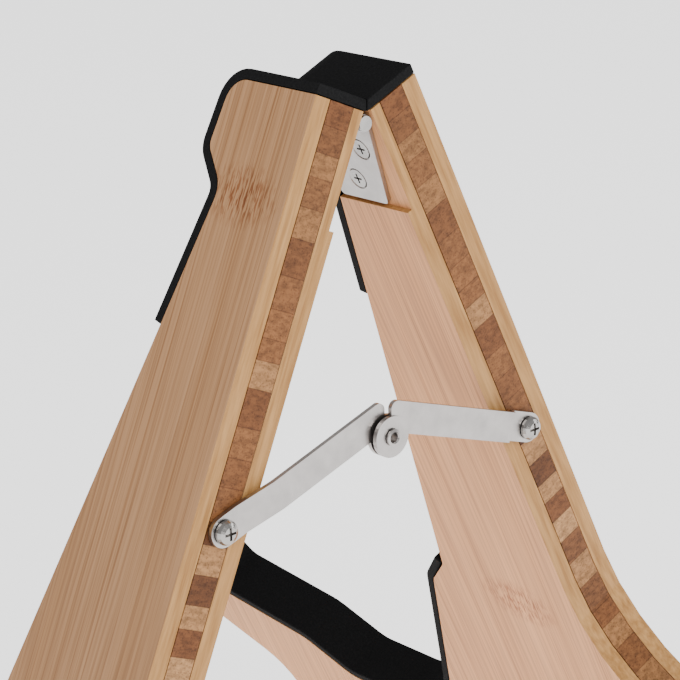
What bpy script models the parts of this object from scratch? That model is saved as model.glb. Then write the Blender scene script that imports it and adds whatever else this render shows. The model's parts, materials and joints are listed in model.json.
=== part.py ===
"""Folding guitar stand: two plywood boards hinged at the top, padded where the
guitar rests, and held open at the rear by a folding two-arm steel brace."""
import math

import bmesh
import bpy
from mathutils import Matrix, Vector

# Driving dimensions, in millimetres and degrees
MM = 0.001
HALF_ANGLE = math.radians(24.3)
PIN_HEIGHT = 289.0
GLUE_GAP = 0.3
ARC_STEP = math.radians(12.0)

# Board section, measured outward from the fold plane (w)
BOARD_INNER = 0.9
BOARD_OUTER = 18.9
CORE_INNER = 6.05
CORE_OUTER = 13.75
RELIEF_FLOOR = 2.5
RELIEF_DEPTH = 28.0

# Board outline as (u down from the pin axis, v forward from the rear edge, corner radius)
GUITAR_SIDE = [
    (-2.6, 0.0, 0.0),
    (-2.8, 32.4, 6.5),
    (15.2, 34.2, 4.0),
    (24.5, 25.6, 7.0),
    (170.2, 54.9, 4.0),
    (179.5, 63.5, 5.0),
    (254.5, 88.3, 36.0),
    (254.5, 140.5, 16.0),
    (244.3, 160.5, 16.0),
    (237.4, 204.0, 9.0),
    (224.0, 215.0, 5.0),
    (230.0, 224.0, 7.0),
]
FLOOR_SIDE = [
    (252.0, 219.0, 16.0),
    (268.0, 182.0, 22.0),
    (336.0, 171.3, 0.0),
    (336.0, 149.1, 0.0),
    (288.0, 136.0, 16.0),
    (288.0, -6.0, 16.0),
    (336.0, -16.9, 0.0),
    (336.0, -50.3, 0.0),
    (227.7, -42.0, 30.0),
    (185.7, 0.0, 62.0),
]

# Pads and feet
PAD_THICK = 3.0
UPPER_PAD_END = (62.1, 33.12, 0.0)
TOP_MEETING_GAP = 0.2
FOOT_THICK = 2.0
FOOT_INSET = 1.0

# Hinge
LEAF_INNER = 1.1
LEAF_OUTER = 2.2
LEAF = [(0.0, 1.7, 0.0), (0.0, 30.0, 0.0), (26.8, 24.6, 1.2), (26.8, 7.0, 1.2)]
KNUCKLE_RADIUS = 2.2
KNUCKLE_BORE = 1.4
KNUCKLES = 5
PIN_RADIUS = 1.1
PIN_HEAD_RADIUS = 2.0
PIN_HEAD = 1.0
HINGE_SCREW_SPOTS = [(10.0, 9.0), (10.0, 22.6), (20.3, 15.5)]
HINGE_SCREW_HEAD = 2.75
HINGE_SCREW_SHANK = 1.4
HINGE_SCREW_LENGTH = 11.0
CSK_DEPTH = 1.35

# Brace, in layers behind the boards' rear edges (v is negative there)
BRACE_SCREW_U = 106.0
BRACE_SCREW_W = 9.5
BRACE_PIVOT_DROP = 80.8
ARM_SLOPE = math.radians(18.5)
ARM_HALF_WIDTH = 4.15
ARM_THICK = 1.3
ARM_END_GAP = 0.45
EAR_RADIUS = 5.5
SCREW_END_LAYER = -0.95
ARM_LAYER = {-1: -2.45, 1: -4.1}
ARM_BEND = {-1: (5.5, 17.0), 1: (7.0, 9.6)}
EAR_LAYER = {-1: -2.45, 1: -4.7}
BRACE_SCREW_HEAD = 3.2
BRACE_SCREW_HEAD_HEIGHT = 2.2
BRACE_SCREW_SHANK = 1.7
BRACE_SCREW_LENGTH = 16.0
RIVET_TUBE = 1.8
RIVET_BORE = 1.3
RIVET_FLANGE = 3.3
RIVET_LIP = 2.3
RIVET_SPLIT = -3.6


# Placement
def board_frame(side):
    """Matrix of a board: x runs down the board, y forward, z along side * w."""
    sin_a = math.sin(HALF_ANGLE)
    cos_a = math.cos(HALF_ANGLE)
    down = Vector((side * sin_a, 0.0, -cos_a))
    forward = Vector((0.0, 1.0, 0.0))
    return frame_matrix(Vector((0.0, -MIDDLE_V, PIN_HEIGHT)), down, forward)


def frame_matrix(origin_mm, x_axis, y_axis):
    z_axis = x_axis.cross(y_axis)
    rotation = Matrix((x_axis, y_axis, z_axis)).transposed().to_4x4()
    return Matrix.Translation(origin_mm * MM) @ rotation


def floor_v(near_u, near_v, far_u, far_v, u):
    return near_v + (far_v - near_v) * (u - near_u) / (far_u - near_u)


def middle_v():
    """Middle of the depth: from the heel of the rear foot to the padded tip."""
    foot_u = (PIN_HEIGHT - FOOT_THICK - GLUE_GAP + BOARD_OUTER * math.sin(HALF_ANGLE))
    foot_u /= math.cos(HALF_ANGLE)
    heel = floor_v(*FLOOR_SIDE[8][:2], *FLOOR_SIDE[7][:2], foot_u)
    tip = max(v for u, v in cradle_pad_outline())
    return (heel + tip) / 2.0


# Outlines
def rounded(corners, offset=0.0, closed=True):
    """Points of an outline with round corners, moved outward by offset."""
    points = []
    last = len(corners) - 1
    for index, (u, v, radius) in enumerate(corners):
        here = Vector((u, v))
        after = Vector(corners[(index + 1) % len(corners)][:2])
        before = Vector(corners[index - 1][:2])
        if not closed and index in (0, last):
            along = (after - here) if index == 0 else (here - before)
            along.normalize()
            points.append(here + Vector((-along.y, along.x)) * offset)
            continue
        back = (before - here).normalized()
        ahead = (after - here).normalized()
        if radius == 0.0:
            points.append(here)
            continue
        half = back.angle(ahead) / 2.0
        centre = here + (back + ahead).normalized() * radius / math.sin(half)
        turn = 1.0 if (-back).cross(ahead) > 0.0 else -1.0
        start = here + back * radius / math.tan(half) - centre
        sweep = turn * (math.pi - 2.0 * half)
        steps = max(2, math.ceil(abs(sweep) / ARC_STEP))
        grown = radius - turn * offset
        for step in range(steps + 1):
            angle = math.atan2(start.y, start.x) + sweep * step / steps
            points.append(centre + grown * Vector((math.cos(angle), math.sin(angle))))
    return points


def pad_outline(corners):
    under = rounded(corners, GLUE_GAP, closed=False)
    over = rounded(corners, PAD_THICK, closed=False)
    return under + over[::-1]


def cradle_pad_outline():
    shoulder = GUITAR_SIDE[4]
    return pad_outline([(shoulder[0], shoulder[1] + 0.6, 0.0)] + GUITAR_SIDE[5:] + [(238.0, 222.2, 0.0)])


def upper_pad_outline():
    return pad_outline(GUITAR_SIDE[:4] + [UPPER_PAD_END])


# Blender helpers
def material(name, colour, roughness, metallic):
    mat = bpy.data.materials.new(name)
    mat.use_nodes = True
    shader = mat.node_tree.nodes["Principled BSDF"]
    shader.inputs["Base Color"].default_value = (*colour, 1.0)
    shader.inputs["Roughness"].default_value = roughness
    shader.inputs["Metallic"].default_value = metallic
    return mat


def add_object(name, mesh, matrix, mat=None):
    obj = bpy.data.objects.new(name, mesh)
    obj.matrix_world = matrix
    if mat is None:
        cutters.objects.link(obj)
        obj.hide_render = True
        obj.display_type = "WIRE"
    else:
        parts.objects.link(obj)
        mesh.materials.append(mat)
    return obj


def plate(name, points, low, high, matrix, mat=None):
    """A flat outline in the frame's x, y plane, filled from low to high along z."""
    curve = bpy.data.curves.new(name, "CURVE")
    curve.dimensions = "2D"
    curve.fill_mode = "BOTH"
    curve.extrude = abs(high - low) / 2.0 * MM
    spline = curve.splines.new("POLY")
    spline.points.add(len(points) - 1)
    for spot, (x, y) in zip(spline.points, points):
        spot.co = (x * MM, y * MM, 0.0, 1.0)
    spline.use_cyclic_u = True
    holder = bpy.data.objects.new(name + "_outline", curve)
    bpy.context.scene.collection.objects.link(holder)
    holder.matrix_world = matrix @ Matrix.Translation((0.0, 0.0, (low + high) / 2.0 * MM))
    bpy.context.view_layer.update()
    evaluated = holder.evaluated_get(bpy.context.evaluated_depsgraph_get())
    mesh = bpy.data.meshes.new_from_object(evaluated)
    weld(mesh)
    obj = add_object(name, mesh, holder.matrix_world.copy(), mat)
    bpy.data.objects.remove(holder)
    return obj


def weld(mesh):
    shape = bmesh.new()
    shape.from_mesh(mesh)
    bmesh.ops.remove_doubles(shape, verts=shape.verts, dist=0.00001)
    bmesh.ops.recalc_face_normals(shape, faces=shape.faces)
    shape.to_mesh(mesh)
    shape.free()


def rod(name, radius, low, high, matrix, mat=None, top_radius=None, sides=24):
    """A cylinder or cone on the frame's z axis, from low to high."""
    shape = bmesh.new()
    place = Matrix.Translation((0.0, 0.0, (low + high) / 2.0 * MM))
    end = radius if top_radius is None else top_radius
    bmesh.ops.create_cone(shape, cap_ends=True, segments=sides, radius1=radius * MM,
                          radius2=end * MM, depth=(high - low) * MM, matrix=place)
    mesh = bpy.data.meshes.new(name)
    shape.to_mesh(mesh)
    shape.free()
    mesh.shade_smooth()
    mesh.set_sharp_from_angle(angle=math.radians(40.0))
    return add_object(name, mesh, matrix, mat)


def block(name, low, high, matrix, mat=None):
    """A box between any two opposite corners."""
    size = Vector([abs(a - b) for a, b in zip(low, high)])
    middle = (Vector(high) + Vector(low)) / 2.0 * MM
    shape = bmesh.new()
    place = Matrix.Translation(middle) @ Matrix.Diagonal((*(size * MM), 1.0))
    bmesh.ops.create_cube(shape, size=1.0, matrix=place)
    mesh = bpy.data.meshes.new(name)
    shape.to_mesh(mesh)
    shape.free()
    return add_object(name, mesh, matrix, mat)


def boolean(obj, tool, operation="DIFFERENCE"):
    change = obj.modifiers.new(tool.name, "BOOLEAN")
    change.operation = operation
    change.solver = "EXACT"
    change.object = tool


def turned(name, profile, matrix, mat=None, sides=24):
    """A round piece from (radius, height) points, run down its outer side."""
    shape = bmesh.new()
    spots = [shape.verts.new((radius * MM, 0.0, height * MM)) for radius, height in profile]
    for first, second in zip(spots, spots[1:]):
        shape.edges.new((first, second))
    bmesh.ops.spin(shape, geom=shape.verts[:] + shape.edges[:], cent=(0.0, 0.0, 0.0),
                   axis=(0.0, 0.0, 1.0), angle=math.tau, steps=sides, use_merge=True)
    bmesh.ops.remove_doubles(shape, verts=shape.verts, dist=0.00001)
    bmesh.ops.recalc_face_normals(shape, faces=shape.faces)
    mesh = bpy.data.meshes.new(name)
    shape.to_mesh(mesh)
    shape.free()
    mesh.shade_smooth()
    mesh.set_sharp_from_angle(angle=math.radians(40.0))
    return add_object(name, mesh, matrix, mat)


def empty(name, place, parent=None):
    axis = bpy.data.objects.new(name, None)
    parts.objects.link(axis)
    axis.location = place
    bpy.context.view_layer.update()
    if parent is not None:
        hang(axis, parent)
    return axis


def hang(child, parent):
    """Parents a piece to the empty on its joint's axis, and leaves it in place."""
    child.parent = parent
    child.matrix_parent_inverse = parent.matrix_world.inverted()


# Boards
def lean_matrix(side, u, v, w, toward):
    """A frame at a point of the board whose z axis points along toward (board axes)."""
    board = board_frame(side)
    point = board @ (Vector((u, v, side * w)) * MM)
    direction = (board.to_3x3() @ Vector(toward)).normalized()
    return Matrix.Translation(point) @ direction.to_track_quat("Z", "Y").to_matrix().to_4x4()


def hinge_screw_frame(side, spot):
    return lean_matrix(side, spot[0], spot[1], LEAF_INNER, (0.0, 0.0, side))


def brace_screw_frame(side):
    return lean_matrix(side, BRACE_SCREW_U, 0.0, BRACE_SCREW_W, (0.0, 1.0, 0.0))


def make_board(side, label):
    frame = board_frame(side)
    outline = rounded(GUITAR_SIDE + FLOOR_SIDE)
    plies = {
        "inner_ply": (BOARD_INNER, CORE_INNER - GLUE_GAP),
        "core_ply": (CORE_INNER, CORE_OUTER),
        "outer_ply": (CORE_OUTER + GLUE_GAP, BOARD_OUTER),
    }
    floor = block(label + "_floor_cutter", (-400.0, -400.0, -200.0),
                  (400.0, 400.0, FOOT_THICK + GLUE_GAP), Matrix())
    relief = block(label + "_relief_cutter", (-40.0, -100.0, -RELIEF_FLOOR),
                   (RELIEF_DEPTH, 100.0, RELIEF_FLOOR), frame)
    holes = []
    for number, spot in enumerate(HINGE_SCREW_SPOTS):
        holes.append(rod(f"{label}_hinge_hole_{number}", HINGE_SCREW_SHANK + GLUE_GAP, -2.0,
                         HINGE_SCREW_LENGTH + GLUE_GAP, hinge_screw_frame(side, spot), sides=16))
    side_hole = rod(label + "_brace_hole", BRACE_SCREW_SHANK + GLUE_GAP, -3.0,
                    BRACE_SCREW_LENGTH + GLUE_GAP, brace_screw_frame(side), sides=16)
    made = []
    for ply, (inner, outer) in plies.items():
        mat = core_wood if ply == "core_ply" else face_wood
        board = plate(f"{label}_{ply}", outline, side * inner, side * outer, frame, mat)
        boolean(board, floor)
        if ply == "inner_ply":
            boolean(board, relief)
        if ply != "outer_ply":
            for hole in holes:
                boolean(board, hole)
        if ply == "core_ply":
            boolean(board, side_hole)
        made.append(board)
    return made


def make_pads(side, label):
    frame = board_frame(side)
    meeting = block(label + "_meeting_cutter", (-side * 60.0, -400.0, PIN_HEIGHT - 40.0),
                    (side * TOP_MEETING_GAP, 400.0, PIN_HEIGHT + 60.0), Matrix())
    upper = plate(label + "_upper_pad", upper_pad_outline(), side * BOARD_INNER,
                  side * BOARD_OUTER, frame, foam)
    boolean(upper, meeting)
    cradle = plate(label + "_cradle_pad", cradle_pad_outline(), side * BOARD_INNER,
                   side * BOARD_OUTER, frame, foam)
    return [upper, cradle]


def make_feet(side, label):
    """Thin rubber strips glued under the two feet, flat on the floor."""
    reach = PIN_HEIGHT - FOOT_THICK - GLUE_GAP
    near_x = reach * math.tan(HALF_ANGLE) + BOARD_INNER / math.cos(HALF_ANGLE) + FOOT_INSET
    far_x = reach * math.tan(HALF_ANGLE) + BOARD_OUTER / math.cos(HALF_ANGLE) - FOOT_INSET
    foot_u = reach / math.cos(HALF_ANGLE)
    made = []
    for place in ("front", "rear"):
        if place == "front":
            back = floor_v(*FLOOR_SIDE[4][:2], *FLOOR_SIDE[3][:2], foot_u)
            front = floor_v(*FLOOR_SIDE[1][:2], *FLOOR_SIDE[2][:2], foot_u)
        else:
            back = floor_v(*FLOOR_SIDE[8][:2], *FLOOR_SIDE[7][:2], foot_u)
            front = floor_v(*FLOOR_SIDE[5][:2], *FLOOR_SIDE[6][:2], foot_u)
        low = (side * near_x, back + FOOT_INSET - MIDDLE_V, 0.0)
        high = (side * far_x, front - FOOT_INSET - MIDDLE_V, FOOT_THICK)
        made.append(block(f"{label}_{place}_foot", low, high, Matrix(), rubber))
    return made


# Hinge
def make_leaf(side, label):
    frame = board_frame(side)
    rear = LEAF[0][1]
    width = (LEAF[1][1] - rear - (KNUCKLES - 1) * GLUE_GAP) / KNUCKLES
    leaf = plate(label + "_hinge_leaf", rounded(LEAF), side * LEAF_INNER, side * LEAF_OUTER,
                 frame, steel)
    own_first = 0 if side > 0 else 1
    for number in range(KNUCKLES):
        low = rear + number * (width + GLUE_GAP)
        axis = lean_matrix(side, 0.0, low, 0.0, (0.0, 1.0, 0.0))
        if number % 2 == own_first:
            knuckle = rod(f"{label}_knuckle_{number}", KNUCKLE_RADIUS, 0.0, width, axis)
            boolean(leaf, knuckle, "UNION")
        else:
            notch = rod(f"{label}_notch_{number}", KNUCKLE_RADIUS + GLUE_GAP, -GLUE_GAP,
                        width + GLUE_GAP, axis)
            boolean(leaf, notch)
    axis = lean_matrix(side, 0.0, rear, 0.0, (0.0, 1.0, 0.0))
    boolean(leaf, rod(label + "_pin_bore", KNUCKLE_BORE, -5.0, 40.0, axis))
    for number, spot in enumerate(HINGE_SCREW_SPOTS):
        place = hinge_screw_frame(side, spot)
        sink = rod(f"{label}_countersink_{number}", HINGE_SCREW_HEAD + 2.0 * GLUE_GAP, -0.1,
                   CSK_DEPTH, place, top_radius=HINGE_SCREW_SHANK + GLUE_GAP)
        boolean(leaf, sink)
    return leaf


def make_pin():
    axis = lean_matrix(1, 0.0, LEAF[0][1], 0.0, (0.0, 1.0, 0.0))
    length = LEAF[1][1] - LEAF[0][1]
    profile = [(0.0, length + 0.3), (PIN_RADIUS, length + 0.3), (PIN_RADIUS, -GLUE_GAP),
               (PIN_HEAD_RADIUS, -GLUE_GAP), (PIN_HEAD_RADIUS, -PIN_HEAD), (0.0, -PIN_HEAD)]
    return turned("hinge_pin", profile, axis, steel)


def cross_cutters(name, place, low, high, reach, wide):
    """The two crossed slots of a cross-head recess."""
    bars = []
    for turn, (x, y) in enumerate(((reach, wide), (wide, reach))):
        bars.append(block(f"{name}_{turn}", (-x, -y, low), (x, y, high), place))
    return bars


def make_hinge_screws(side, label):
    """Three countersunk wood screws."""
    made = []
    for number, spot in enumerate(HINGE_SCREW_SPOTS, 1):
        place = hinge_screw_frame(side, spot)
        profile = [(0.0, HINGE_SCREW_LENGTH), (0.4, HINGE_SCREW_LENGTH),
                   (HINGE_SCREW_SHANK, HINGE_SCREW_LENGTH - 2.4), (HINGE_SCREW_SHANK, CSK_DEPTH),
                   (HINGE_SCREW_HEAD, 0.25), (HINGE_SCREW_HEAD, 0.05), (0.0, 0.05)]
        screw = turned(f"{label}_hinge_screw_{number}", profile, place, steel, sides=20)
        for bar in cross_cutters(f"{label}_drive_{number}", place, -0.5, 0.8, 1.5, 0.28):
            boolean(screw, bar)
        made.append(screw)
    return made


# Brace
def brace_frame(side):
    """Frame of an arm: x from its screw toward the middle, y up across the strip."""
    sin_a = math.sin(HALF_ANGLE)
    cos_a = math.cos(HALF_ANGLE)
    screw_x = BRACE_SCREW_U * sin_a + BRACE_SCREW_W * cos_a
    screw_z = PIN_HEIGHT - BRACE_SCREW_U * cos_a + BRACE_SCREW_W * sin_a
    inward = Vector((-side * math.cos(ARM_SLOPE), 0.0, math.sin(ARM_SLOPE)))
    up = Vector((side * math.sin(ARM_SLOPE), 0.0, math.cos(ARM_SLOPE)))
    return frame_matrix(Vector((side * screw_x, -MIDDLE_V, screw_z)), inward, up)


def pivot_frame():
    place = Vector((0.0, -MIDDLE_V, PIN_HEIGHT - BRACE_PIVOT_DROP)) * MM
    turn = Vector((0.0, 1.0, 0.0)).to_track_quat("Z", "Y").to_matrix().to_4x4()
    return Matrix.Translation(place) @ turn


def arm_outline():
    """A strip round at its screw end, cut square to the fold plane at its inner end."""
    screw_x = BRACE_SCREW_U * math.sin(HALF_ANGLE) + BRACE_SCREW_W * math.cos(HALF_ANGLE)
    edges = []
    for y in (-ARM_HALF_WIDTH, ARM_HALF_WIDTH):
        x = (screw_x - ARM_END_GAP + y * math.sin(ARM_SLOPE)) / math.cos(ARM_SLOPE)
        edges.append((x, y))
    half = ARM_HALF_WIDTH * 0.999
    return rounded([
        (-half, ARM_HALF_WIDTH, half), (*edges[1], 2.0), (*edges[0], 0.5),
        (-half, -ARM_HALF_WIDTH, half),
    ])


def make_arm(side, label):
    frame = brace_frame(side)
    arm = plate(label + "_brace_arm", arm_outline(), side * -8.0, side * 2.0, frame, steel)
    half = ARM_THICK / 2.0
    start, end = ARM_BEND[side]
    line = [(-20.0, SCREW_END_LAYER), (start, SCREW_END_LAYER), (end, ARM_LAYER[side]),
            (80.0, ARM_LAYER[side])]
    under = [(x, side * (y - half)) for x, y in line]
    over = [(x, side * (y + half)) for x, y in reversed(line)]
    turn = Matrix.Rotation(math.radians(90.0), 4, "X")
    bent = plate(label + "_bend_cutter", under + over, -12.0, 12.0, frame @ turn)
    boolean(arm, bent, "INTERSECT")
    pivot = pivot_frame()
    ear = rod(label + "_ear", EAR_RADIUS, EAR_LAYER[side] - half, EAR_LAYER[side] + half, pivot,
              sides=40)
    boolean(arm, ear, "UNION")
    boolean(arm, rod(label + "_rivet_hole", RIVET_TUBE + GLUE_GAP, -12.0, 4.0, pivot))
    boolean(arm, rod(label + "_screw_hole", BRACE_SCREW_SHANK + GLUE_GAP, -8.0, 4.0,
                     brace_screw_frame(side)))
    return arm


def make_brace_screw(side, label):
    """A pan-head wood screw driven into the middle of the board's rear edge."""
    seat = SCREW_END_LAYER - ARM_THICK / 2.0 - GLUE_GAP
    top = seat - BRACE_SCREW_HEAD_HEIGHT
    profile = [
        (0.0, BRACE_SCREW_LENGTH), (0.4, BRACE_SCREW_LENGTH),
        (BRACE_SCREW_SHANK, BRACE_SCREW_LENGTH - 3.0), (BRACE_SCREW_SHANK, seat),
        (BRACE_SCREW_HEAD, seat), (BRACE_SCREW_HEAD, seat - 0.7),
        (BRACE_SCREW_HEAD * 0.86, seat - 1.5), (BRACE_SCREW_HEAD * 0.55, top + 0.15), (0.0, top),
    ]
    place = brace_screw_frame(side)
    screw = turned(label + "_brace_screw", profile, place, steel)
    for bar in cross_cutters(label + "_brace_drive", place, top - 1.0, top + 1.3, 1.7, 0.35):
        boolean(screw, bar)
    return screw


def make_rivet():
    """A tubular rivet, split where the two ears slide on each other."""
    pivot = pivot_frame()
    front = EAR_LAYER[-1] + ARM_THICK / 2.0 + GLUE_GAP
    head = turned("brace_rivet_head", [
        (RIVET_BORE, front + 0.7), (RIVET_FLANGE, front + 0.7), (RIVET_FLANGE, front),
        (RIVET_TUBE, front), (RIVET_TUBE, RIVET_SPLIT + 0.15), (RIVET_BORE, RIVET_SPLIT + 0.15),
        (RIVET_BORE, front + 0.7)], pivot, steel)
    back = EAR_LAYER[1] - ARM_THICK / 2.0 - GLUE_GAP
    tail = turned("brace_rivet_tail", [
        (RIVET_BORE, RIVET_SPLIT - 0.15), (RIVET_TUBE, RIVET_SPLIT - 0.15), (RIVET_TUBE, back),
        (RIVET_LIP, back), (RIVET_LIP, back - 0.5), (RIVET_BORE + 0.3, back - 0.7),
        (RIVET_BORE, back - 0.3), (RIVET_BORE, RIVET_SPLIT - 0.15)], pivot, steel)
    return head, tail


MIDDLE_V = middle_v()
for old in list(bpy.data.objects):
    bpy.data.objects.remove(old)
parts = bpy.data.collections.new("folding_guitar_stand")
cutters = bpy.data.collections.new("cutters")
bpy.context.scene.collection.children.link(parts)
bpy.context.scene.collection.children.link(cutters)

face_wood = material("face_wood", (0.55, 0.36, 0.22), 0.5, 0.0)
core_wood = material("core_wood", (0.38, 0.2, 0.1), 0.6, 0.0)
foam = material("black_foam", (0.02, 0.02, 0.022), 0.85, 0.0)
rubber = material("foot_rubber", (0.03, 0.03, 0.03), 0.8, 0.0)
steel = material("plated_steel", (0.62, 0.6, 0.57), 0.35, 1.0)

right_pieces = make_board(1, "right") + make_pads(1, "right") + make_feet(1, "right")
right_pieces += make_hinge_screws(1, "right")
right_pieces += [make_leaf(1, "right"), make_brace_screw(1, "right")]
make_board(-1, "left")
make_pads(-1, "left")
make_feet(-1, "left")
make_leaf(-1, "left")
make_hinge_screws(-1, "left")
make_brace_screw(-1, "left")
make_pin()
rivet_head, rivet_tail = make_rivet()
left_arm = make_arm(-1, "left")
right_arm = make_arm(1, "right")

fold_axis = empty("fold_axis", board_frame(1).translation)
left_arm_axis = empty("left_arm_axis", brace_frame(-1).translation)
right_arm_axis = empty("right_arm_axis", brace_frame(1).translation, fold_axis)
for piece in right_pieces:
    hang(piece, fold_axis)
for piece in (left_arm, rivet_head):
    hang(piece, left_arm_axis)
for piece in (right_arm, rivet_tail):
    hang(piece, right_arm_axis)
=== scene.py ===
import json
import math

import bmesh
import bpy
from mathutils import Matrix, Vector


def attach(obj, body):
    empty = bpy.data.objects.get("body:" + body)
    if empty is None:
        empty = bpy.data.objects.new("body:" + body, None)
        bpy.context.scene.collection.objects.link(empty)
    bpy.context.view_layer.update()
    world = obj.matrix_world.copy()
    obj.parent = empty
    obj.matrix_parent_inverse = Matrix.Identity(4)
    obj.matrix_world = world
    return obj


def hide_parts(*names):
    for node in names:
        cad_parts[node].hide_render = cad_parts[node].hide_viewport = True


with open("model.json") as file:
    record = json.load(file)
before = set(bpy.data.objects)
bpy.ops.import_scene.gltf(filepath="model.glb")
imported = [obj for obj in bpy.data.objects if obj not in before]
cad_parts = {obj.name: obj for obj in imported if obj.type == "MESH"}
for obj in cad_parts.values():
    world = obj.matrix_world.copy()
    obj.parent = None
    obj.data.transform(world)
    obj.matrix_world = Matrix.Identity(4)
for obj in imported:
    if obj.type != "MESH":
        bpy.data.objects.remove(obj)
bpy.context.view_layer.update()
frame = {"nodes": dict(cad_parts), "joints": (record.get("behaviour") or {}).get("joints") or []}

# Camera and stage: the stand is seen from behind and to its left, a little from above,
# so close that its feet are below the picture's edge. It stands on a plain pale floor
# in soft studio light.
MM = 0.001
AZIMUTH = math.radians(39.95)
ELEVATION = math.radians(17.46)
ROLL = math.radians(-2.316)
PICTURE = 680
FOCAL_PIXELS = 2472.2
SENSOR = 36.0
NEAREST = 0.01
# A point just above the pin's axis at its rear end, and where the camera sees that point:
# millimetres to the right, up and away
ABOVE_PIN = Vector((0.0, 0.0, 2.2)) * MM
PIN_FROM_CAMERA = Vector((6.754, 55.410, 610.290)) * MM

fold_joint = next(joint for joint in frame["joints"] if joint["name"] == "board_fold")
pin = Vector(fold_joint["pos_m"])
sight = Vector((math.sin(AZIMUTH) * math.cos(ELEVATION), math.cos(AZIMUTH) * math.cos(ELEVATION),
                -math.sin(ELEVATION)))
level = sight.cross(Vector((0.0, 0.0, 1.0))).normalized()
over = level.cross(sight)
rightward = math.cos(ROLL) * level + math.sin(ROLL) * over
upward = math.cos(ROLL) * over - math.sin(ROLL) * level
back_to_camera = (rightward * PIN_FROM_CAMERA.x + upward * PIN_FROM_CAMERA.y
                  + sight * PIN_FROM_CAMERA.z)
turn = Matrix((rightward, upward, -sight)).transposed().to_4x4()
view = bpy.data.objects.new("camera", bpy.data.cameras.new("camera"))
bpy.context.scene.collection.objects.link(view)
view.matrix_world = Matrix.Translation(pin + ABOVE_PIN - back_to_camera) @ turn
view.data.lens = FOCAL_PIXELS * SENSOR / PICTURE
view.data.sensor_width = SENSOR
view.data.clip_start = NEAREST
bpy.context.scene.camera = view

# Square lamps, turned to one point inside the stand: place, width in metres and watts
LAMPS = {
    "key_light": ((-0.5, -1.3, 1.2), 0.7, 14.0),
    "side_light": ((1.4, -0.7, 0.9), 0.6, 8.0),
}
LIT_POINT = Vector((0.0, 0.0, 0.2))
WHITE = (1.0, 1.0, 1.0)
SKY_STRENGTH = 0.55
FLOOR_WIDTH = 30.0
FLOOR_COLOUR = (0.93, 0.93, 0.93)
FLOOR_ROUGHNESS = 0.9
FLOOR_GLOSS = 0.1
FLOOR_GLOW = 1.5


def feed(tree, socket, value):
    """Gives a socket a link, or a number, vector or colour of its own."""
    if isinstance(value, bpy.types.NodeSocket):
        tree.links.new(value, socket)
    elif socket.type == "RGBA":
        socket.default_value = (*value, 1.0)
    else:
        socket.default_value = value


def new_material(name):
    """A material, its node tree and its surface, the sockets of its Principled shader."""
    mat = bpy.data.materials.new(name)
    mat.use_nodes = True
    return mat, mat.node_tree, mat.node_tree.nodes["Principled BSDF"].inputs


for name, (place, width, watts) in LAMPS.items():
    lamp = bpy.data.objects.new(name, bpy.data.lights.new(name, "AREA"))
    bpy.context.scene.collection.objects.link(lamp)
    lamp.data.size = width
    lamp.data.energy = watts
    lamp.location = place
    lamp.rotation_euler = (LIT_POINT - Vector(place)).to_track_quat("-Z", "Y").to_euler()

world = bpy.data.worlds.new("studio")
bpy.context.scene.world = world
world.use_nodes = True
sky = world.node_tree.nodes["Background"].inputs
feed(world.node_tree, sky["Color"], WHITE)
feed(world.node_tree, sky["Strength"], SKY_STRENGTH)

bpy.ops.mesh.primitive_plane_add(size=FLOOR_WIDTH, location=(0.0, 0.0, 0.0))
floor = bpy.context.object
floor.name = "floor"
floor_paint, tree, surface = new_material("floor_white")
feed(tree, surface["Base Color"], FLOOR_COLOUR)
feed(tree, surface["Roughness"], FLOOR_ROUGHNESS)
feed(tree, surface["Specular IOR Level"], FLOOR_GLOSS)
feed(tree, surface["Emission Color"], WHITE)
feed(tree, surface["Emission Strength"], FLOOR_GLOW)
floor.data.materials.append(floor_paint)

# Face plies: the outer and inner sheets of each board, strips of bamboo glued flat with the
# grain running down the board. Their broad faces are tan with fine dark fibres and a node
# scar, and their sawn edges are golden. They are cut and lacquered with the core.
SIDES = {"left": -1, "right": 1}
HALF_FOLD = math.radians(fold_joint["range_deg"][1]) / 2.0
# Each board's pattern is moved this far sideways, so that the two boards' grains differ
PATTERN_SHIFT = 0.05
# The two tones of a board's bamboo strips. The right board's tones are painted brighter than the
# left's: painted light for the light that falls on the right board's inner face.
PALE_RIGHT_PAINTED_LIGHTER = {-1: (0.5, 0.285, 0.145), 1: (0.77, 0.41, 0.2)}
DEEP_RIGHT_PAINTED_LIGHTER = {-1: (0.42, 0.225, 0.105), 1: (0.68, 0.345, 0.16)}
# Grains: waves per metre through, across and along the board, and the tones at the low and
# high values of the noise
STRIPS = {"Waves": (60.0, 130.0, 3.0), "Detail": 2.0, "Low": 0.3, "High": 0.7}
FIBRES = {"Waves": (900.0, 900.0, 14.0), "Detail": 4.0, "Roughness": 0.6,
          "Low": 0.35, "Low tone": (0.6, 0.5, 0.42), "High": 0.58, "High tone": (1.06, 1.04, 1.02)}
DRIFT = {"Waves": (12.0, 16.0, 5.0), "Detail": 2.0,
         "Low": 0.3, "Low tone": (0.9, 0.88, 0.86), "High": 0.7, "High tone": (1.04, 1.02, 1.0)}
VEINS = {"Waves": (500.0, 1700.0, 9.0), "Detail": 2.0, "Roughness": 0.5,
         "Low": 0.34, "Low tone": (0.66, 0.56, 0.46), "High": 0.46, "High tone": WHITE}
TICKS = {"Waves": (500.0, 1500.0, 260.0), "Detail": 2.0, "Roughness": 0.5,
         "Low": 0.42, "Low tone": (0.5, 0.3, 0.2), "High": 0.52, "High tone": WHITE}
SAWN = {"Waves": (900.0, 900.0, 60.0),
        "Low": 0.3, "Low tone": (0.33, 0.155, 0.045), "High": 0.7, "High tone": (0.52, 0.28, 0.1)}
FIBRE_STRENGTH = 0.55
VEIN_STRENGTH = 0.7
FULL = 1.0
# Node scars of the bamboo: middle down the board from the pin, middle from the rear edge
SCAR = {-1: (0.0255, 0.0165), 1: (0.174, 0.024)}
SCAR_HALF_LENGTH = 0.009
SCAR_HALF_WIDTH = 0.016
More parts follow.
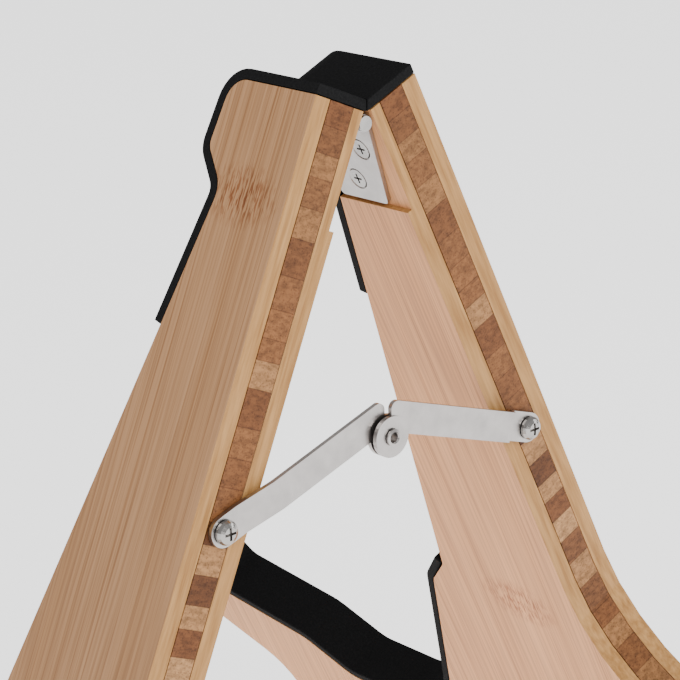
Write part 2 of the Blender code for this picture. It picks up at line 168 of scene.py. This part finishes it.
# Where the cosine of a normal to the board's own is above this, the surface is a broad face
FACE_COSINE = 0.8
WOOD_ROUGHNESS = (0.42, 0.58)
WOOD_GLOSS = 0.2
FIBRE_BUMP = 0.25
GRAIN_DEPTH = 0.1 * MM
# Sockets of a Mix node that mixes colours
MIX_FACTOR = 0
MIX_FIRST = 6
MIX_SECOND = 7
MIX_RESULT = 2


def new_node(tree, kind, **settings):
    node = tree.nodes.new(kind)
    for name, value in settings.items():
        setattr(node, name, value)
    return node


def mixed(tree, factor, first, second, blend="MIX"):
    node = new_node(tree, "ShaderNodeMix", data_type="RGBA", blend_type=blend)
    feed(tree, node.inputs[MIX_FACTOR], factor)
    feed(tree, node.inputs[MIX_FIRST], first)
    feed(tree, node.inputs[MIX_SECOND], second)
    return node.outputs[MIX_RESULT]


def shaded(tree, strength, colour, tone):
    """The colour multiplied by a tone, as strongly as given."""
    return mixed(tree, strength, colour, tone, "MULTIPLY")


def spread(tree, value, least, most, low=0.0, high=1.0):
    """A value between low and high, moved to the same place between least and most."""
    node = new_node(tree, "ShaderNodeMapRange")
    for name, number in (("Value", value), ("From Min", low), ("From Max", high),
                         ("To Min", least), ("To Max", most)):
        feed(tree, node.inputs[name], number)
    return node.outputs["Result"]


def toned(tree, value, low, low_tone, high, high_tone):
    """The colour between two tones that a value between low and high stands for."""
    return mixed(tree, spread(tree, value, 0.0, 1.0, low, high), low_tone, high_tone)


def bumped(tree, height, strength, depth):
    node = new_node(tree, "ShaderNodeBump")
    feed(tree, node.inputs["Height"], height)
    feed(tree, node.inputs["Strength"], strength)
    feed(tree, node.inputs["Distance"], depth)
    return node.outputs["Normal"]


def grain_group():
    """Noise drawn out to its waves per metre each way, and the tone that it gives."""
    group = bpy.data.node_groups.new("grain", "ShaderNodeTree")
    for name, kind, value in (
            ("Coordinates", "NodeSocketVector", (0.0, 0.0, 0.0)),
            ("Waves", "NodeSocketVector", (1.0, 1.0, 1.0)),
            ("Detail", "NodeSocketFloat", 3.0),
            ("Roughness", "NodeSocketFloat", 0.55),
            ("Low", "NodeSocketFloat", 0.0),
            ("Low tone", "NodeSocketColor", (0.0, 0.0, 0.0, 1.0)),
            ("High", "NodeSocketFloat", 1.0),
            ("High tone", "NodeSocketColor", (1.0, 1.0, 1.0, 1.0))):
        socket = group.interface.new_socket(name, in_out="INPUT", socket_type=kind)
        socket.default_value = value
    group.interface.new_socket("Value", in_out="OUTPUT", socket_type="NodeSocketFloat")
    group.interface.new_socket("Tone", in_out="OUTPUT", socket_type="NodeSocketColor")
    given = new_node(group, "NodeGroupInput").outputs
    drawn_out = new_node(group, "ShaderNodeMapping")
    feed(group, drawn_out.inputs["Vector"], given["Coordinates"])
    feed(group, drawn_out.inputs["Scale"], given["Waves"])
    noise = new_node(group, "ShaderNodeTexNoise")
    feed(group, noise.inputs["Vector"], drawn_out.outputs["Vector"])
    feed(group, noise.inputs["Scale"], 1.0)
    feed(group, noise.inputs["Detail"], given["Detail"])
    feed(group, noise.inputs["Roughness"], given["Roughness"])
    result = new_node(group, "NodeGroupOutput").inputs
    feed(group, result["Value"], noise.outputs["Fac"])
    feed(group, result["Tone"], toned(group, noise.outputs["Fac"], given["Low"], given["Low tone"],
                                      given["High"], given["High tone"]))
    return group


def grain(tree, coordinates, values):
    """Places the grain group in a material, and gives its Value and Tone."""
    node = new_node(tree, "ShaderNodeGroup", node_tree=GRAIN)
    feed(tree, node.inputs["Coordinates"], coordinates)
    for name, value in values.items():
        feed(tree, node.inputs[name], value)
    return node.outputs


def calculated(tree, operation, first, second=0.0, clamp=False):
    node = new_node(tree, "ShaderNodeMath", operation=operation, use_clamp=clamp)
    for socket, value in zip(node.inputs, (first, second)):
        feed(tree, socket, value)
    return node.outputs["Value"]


def object_coordinates(tree):
    return new_node(tree, "ShaderNodeTexCoord").outputs["Object"]


def board_coordinates(tree, side):
    """Object coordinates turned so that z runs along the board and x through it."""
    upright = new_node(tree, "ShaderNodeMapping")
    feed(tree, upright.inputs["Vector"], object_coordinates(tree))
    feed(tree, upright.inputs["Location"], (PATTERN_SHIFT * side, 0.0, 0.0))
    feed(tree, upright.inputs["Rotation"], (0.0, side * HALF_FOLD, 0.0))
    return upright.outputs["Vector"]


def separated(tree, vector):
    """The X, Y and Z of a vector."""
    split = new_node(tree, "ShaderNodeSeparateXYZ")
    feed(tree, split.inputs["Vector"], vector)
    return split.outputs


def face_mask(tree, side):
    """1 on the board's two broad faces and 0 on its sawn edges."""
    geometry = new_node(tree, "ShaderNodeNewGeometry")
    dot = new_node(tree, "ShaderNodeVectorMath", operation="DOT_PRODUCT")
    through_board = (side * math.cos(HALF_FOLD), 0.0, math.sin(HALF_FOLD))
    for socket, value in zip(dot.inputs, (geometry.outputs["True Normal"], through_board)):
        feed(tree, socket, value)
    facing = calculated(tree, "ABSOLUTE", dot.outputs["Value"])
    return calculated(tree, "GREATER_THAN", facing, FACE_COSINE)


def scar_mask(tree, along, side):
    """1 at the middle of the board's node scar, fading to 0 around it."""
    from_pin, from_rear = SCAR[side]
    place = separated(tree, along)
    shares = []
    for socket, middle, reach in (
            (place["Z"], pin.z * math.cos(HALF_FOLD) - from_pin, SCAR_HALF_LENGTH),
            (place["Y"], pin.y + from_rear, SCAR_HALF_WIDTH)):
        share = calculated(tree, "DIVIDE", calculated(tree, "SUBTRACT", socket, middle), reach)
        shares.append(calculated(tree, "MULTIPLY", share, share))
    return calculated(tree, "SUBTRACT", FULL, calculated(tree, "ADD", *shares), clamp=True)


def face_bamboo(label, side):
    mat, tree, surface = new_material(f"face_bamboo_{label}")
    along = board_coordinates(tree, side)
    # The right board's strip tones are painted brighter than the left's, as painted light.
    strips = grain(tree, along, STRIPS | {"Low tone": DEEP_RIGHT_PAINTED_LIGHTER[side], "High tone": PALE_RIGHT_PAINTED_LIGHTER[side]})
    fibres = grain(tree, along, FIBRES)
    face = shaded(tree, FIBRE_STRENGTH, strips["Tone"], fibres["Tone"])
    face = shaded(tree, FULL, face, grain(tree, along, DRIFT)["Tone"])
    face = shaded(tree, VEIN_STRENGTH, face, grain(tree, along, VEINS)["Tone"])
    scarred = shaded(tree, FULL, face, grain(tree, along, TICKS)["Tone"])
    face = mixed(tree, scar_mask(tree, along, side), face, scarred)
    edge = grain(tree, along, SAWN)["Tone"]
    feed(tree, surface["Base Color"], mixed(tree, face_mask(tree, side), edge, face))
    feed(tree, surface["Roughness"], spread(tree, fibres["Value"], *WOOD_ROUGHNESS))
    feed(tree, surface["Specular IOR Level"], WOOD_GLOSS)
    feed(tree, surface["Normal"], bumped(tree, fibres["Value"], FIBRE_BUMP, GRAIN_DEPTH))
    return mat


def dress(node, mat):
    """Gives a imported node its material."""
    mesh = nodes[node].data
    mesh.materials.clear()
    mesh.materials.append(mat)


nodes = frame["nodes"]
GRAIN = grain_group()
for label, side in SIDES.items():
    bamboo = face_bamboo(label, side)
    for ply in ("inner_ply", "outer_ply"):
        dress(f"{label}_{ply}", bamboo)

# Core plies: the middle of each board, short bamboo blocks glued side by side across it, so
# the sawn edge shows their end grain. Each block has its own brown, with dark fibre dots,
# and the joints between blocks run square to the board.
BLOCKS_PER_METRE = 130.0
BLOCK_BROWNS = (
    (0.0, (0.1, 0.036, 0.012)),
    (0.25, (0.24, 0.1, 0.035)),
    (0.45, (0.15, 0.055, 0.018)),
    (0.7, (0.3, 0.145, 0.055)),
    (1.0, (0.45, 0.25, 0.11)),
)
MOTTLE = {"Waves": (500.0, 300.0, 900.0), "Detail": 4.0, "Roughness": 0.65,
          "Low": 0.35, "Low tone": (0.6, 0.55, 0.5), "High": 0.62, "High tone": (1.15, 1.1, 1.05)}
DOTS_PER_METRE = 1300.0
# The tone near a dot's middle or a joint and the tone away from it, each after its distance
# in cells of the texture
DOT_TONES = (0.18, (0.55, 0.5, 0.45), 0.4, WHITE)
DOT_STRENGTH = 0.7
JOINT_TONES = (0.0, (0.45, 0.38, 0.32), 0.03, WHITE)
JOINT_STRENGTH = 0.8
CORE_ROUGHNESS = 0.55
CORE_BUMP = 0.3


def banded(tree, value, stops):
    """A colour that changes from stop to stop as the value rises."""
    node = new_node(tree, "ShaderNodeValToRGB")
    band = node.color_ramp.elements
    for position, colour in stops[1:-1]:
        band.new(position)
    for element, (position, colour) in zip(band, stops):
        element.position = position
        element.color = (*colour, 1.0)
    feed(tree, node.inputs["Fac"], value)
    return node.outputs["Color"]


def cells(tree, coordinate, per_metre, socket="W", **settings):
    """A Voronoi texture with so many cells per metre, read at a coordinate."""
    node = new_node(tree, "ShaderNodeTexVoronoi", **settings)
    feed(tree, node.inputs[socket], coordinate)
    feed(tree, node.inputs["Scale"], per_metre)
    return node.outputs


def core_bamboo(label, side):
    mat, tree, surface = new_material(f"core_bamboo_{label}")
    along = board_coordinates(tree, side)
    down = separated(tree, along)["Z"]
    blocks = cells(tree, down, BLOCKS_PER_METRE, voronoi_dimensions="1D")
    joints = cells(tree, down, BLOCKS_PER_METRE, voronoi_dimensions="1D",
                   feature="DISTANCE_TO_EDGE")
    dots = cells(tree, along, DOTS_PER_METRE, "Vector")
    chance = new_node(tree, "ShaderNodeSeparateColor")
    feed(tree, chance.inputs["Color"], blocks["Color"])
    mottle = grain(tree, along, MOTTLE)
    colour = shaded(tree, FULL, banded(tree, chance.outputs["Red"], BLOCK_BROWNS), mottle["Tone"])
    colour = shaded(tree, DOT_STRENGTH, colour, toned(tree, dots["Distance"], *DOT_TONES))
    colour = shaded(tree, JOINT_STRENGTH, colour, toned(tree, joints["Distance"], *JOINT_TONES))
    feed(tree, surface["Base Color"], colour)
    feed(tree, surface["Roughness"], CORE_ROUGHNESS)
    feed(tree, surface["Specular IOR Level"], WOOD_GLOSS)
    feed(tree, surface["Normal"], bumped(tree, mottle["Value"], CORE_BUMP, GRAIN_DEPTH))
    return mat


for label, side in SIDES.items():
    dress(f"{label}_core_ply", core_bamboo(label, side))

# Pads: strips of matte black foam, glued along the edges that the guitar touches. One wraps
# the top of each board and ends part way down its front edge. The other lines the cradle.
PAD_EDGE = 0.5 * MM
PAD_EDGE_STEPS = 3
PAD_WELD = 0.01 * MM
PAD_FLAT = math.radians(1.0)
PAD_CORNER = math.radians(50.0)
SPECKS = {"Roughness": 0.6, "Low": 0.3, "Low tone": (0.003, 0.003, 0.0032),
          "High": 0.7, "High tone": (0.009, 0.009, 0.0095)}
BLACK_ROUGHNESS = 0.85
BLACK_GLOSS = 0.12
BLACK_BUMP = 0.6
FOAM_CELLS_PER_METRE = 1800.0
FOAM_DEPTH = 0.15 * MM


def matte_black(name, specks_per_metre, depth):
    mat, tree, surface = new_material(name)
    specks = grain(tree, object_coordinates(tree), SPECKS | {"Waves": (specks_per_metre,) * 3})
    feed(tree, surface["Base Color"], specks["Tone"])
    feed(tree, surface["Roughness"], BLACK_ROUGHNESS)
    feed(tree, surface["Specular IOR Level"], BLACK_GLOSS)
    feed(tree, surface["Normal"], bumped(tree, specks["Value"], BLACK_BUMP, depth))
    return mat


def softened(node, name, mat):
    """A copy of a plain strip with its edges rounded over."""
    shape = bmesh.new()
    shape.from_mesh(nodes[node].data)
    bmesh.ops.remove_doubles(shape, verts=shape.verts, dist=PAD_WELD)
    bmesh.ops.dissolve_limit(shape, angle_limit=PAD_FLAT, verts=shape.verts, edges=shape.edges)
    mesh = bpy.data.meshes.new(name)
    shape.to_mesh(mesh)
    shape.free()
    mesh.materials.append(mat)
    mesh.shade_smooth()
    mesh.set_sharp_from_angle(angle=PAD_CORNER)
    piece = bpy.data.objects.new(name, mesh)
    bpy.context.scene.collection.objects.link(piece)
    rounding = piece.modifiers.new("rounding", "BEVEL")
    rounding.width = PAD_EDGE
    rounding.segments = PAD_EDGE_STEPS
    rounding.limit_method = "ANGLE"
    rounding.angle_limit = PAD_CORNER
    return piece


foam = matte_black("pad_foam", FOAM_CELLS_PER_METRE, FOAM_DEPTH)
for label in SIDES:
    for pad in ("upper_pad", "cradle_pad"):
        strip = softened(f"{label}_{pad}", f"{label}_{pad}_foam", foam)
        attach(strip, f"{label}_panel")
        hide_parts(f"{label}_{pad}")

# Feet: thin black rubber strips glued under each board's two feet, a little smaller than the
# wood. They lie flat on the floor, so that the stand doesn't slip.
RUBBER_SPECKS_PER_METRE = 900.0
RUBBER_DEPTH = 0.1 * MM
rubber = matte_black("foot_rubber", RUBBER_SPECKS_PER_METRE, RUBBER_DEPTH)
for label in SIDES:
    for foot in ("front_foot", "rear_foot"):
        dress(f"{label}_{foot}", rubber)

# Hinge and brace: pressed strip steel with a satin plating, rolled round a pin or bent and
# riveted. The screws are plated the same. Handling leaves fine scratches and soft stains.
SCRATCHES = {"Waves": (1400.0, 300.0, 200.0)}
STAINS = {"Waves": (160.0, 160.0, 160.0), "Low": 0.35, "High": 0.7}
# A stain's share of the clean steel's tint, and how far scratches move the roughness
STAINED = 0.82
SCRATCH_ROUGHNESS = (-0.08, 0.1)
SCRATCH_BUMP = 0.12
SCRATCH_DEPTH = 0.03 * MM
STRIP_TINT = (0.46, 0.435, 0.42)
STRIP_ROUGHNESS = 0.3
SCREW_TINT = (0.4, 0.385, 0.37)
SCREW_ROUGHNESS = 0.22


def plated_steel(name, tint, roughness):
    mat, tree, surface = new_material(name)
    place = object_coordinates(tree)
    scratches = grain(tree, place, SCRATCHES)["Value"]
    stained_tint = tuple(STAINED * value for value in tint)
    stains = grain(tree, place, STAINS | {"Low tone": tint, "High tone": stained_tint})
    least, most = (roughness + change for change in SCRATCH_ROUGHNESS)
    feed(tree, surface["Base Color"], stains["Tone"])
    feed(tree, surface["Metallic"], FULL)
    feed(tree, surface["Roughness"], spread(tree, scratches, least, most))
    feed(tree, surface["Normal"], bumped(tree, scratches, SCRATCH_BUMP, SCRATCH_DEPTH))
    return mat


strip_steel = plated_steel("strip_steel", STRIP_TINT, STRIP_ROUGHNESS)
screw_steel = plated_steel("screw_steel", SCREW_TINT, SCREW_ROUGHNESS)
for node in nodes:
    if "screw" in node or node == "hinge_pin":
        dress(node, screw_steel)
    elif "leaf" in node or "arm" in node or "rivet" in node:
        dress(node, strip_steel)
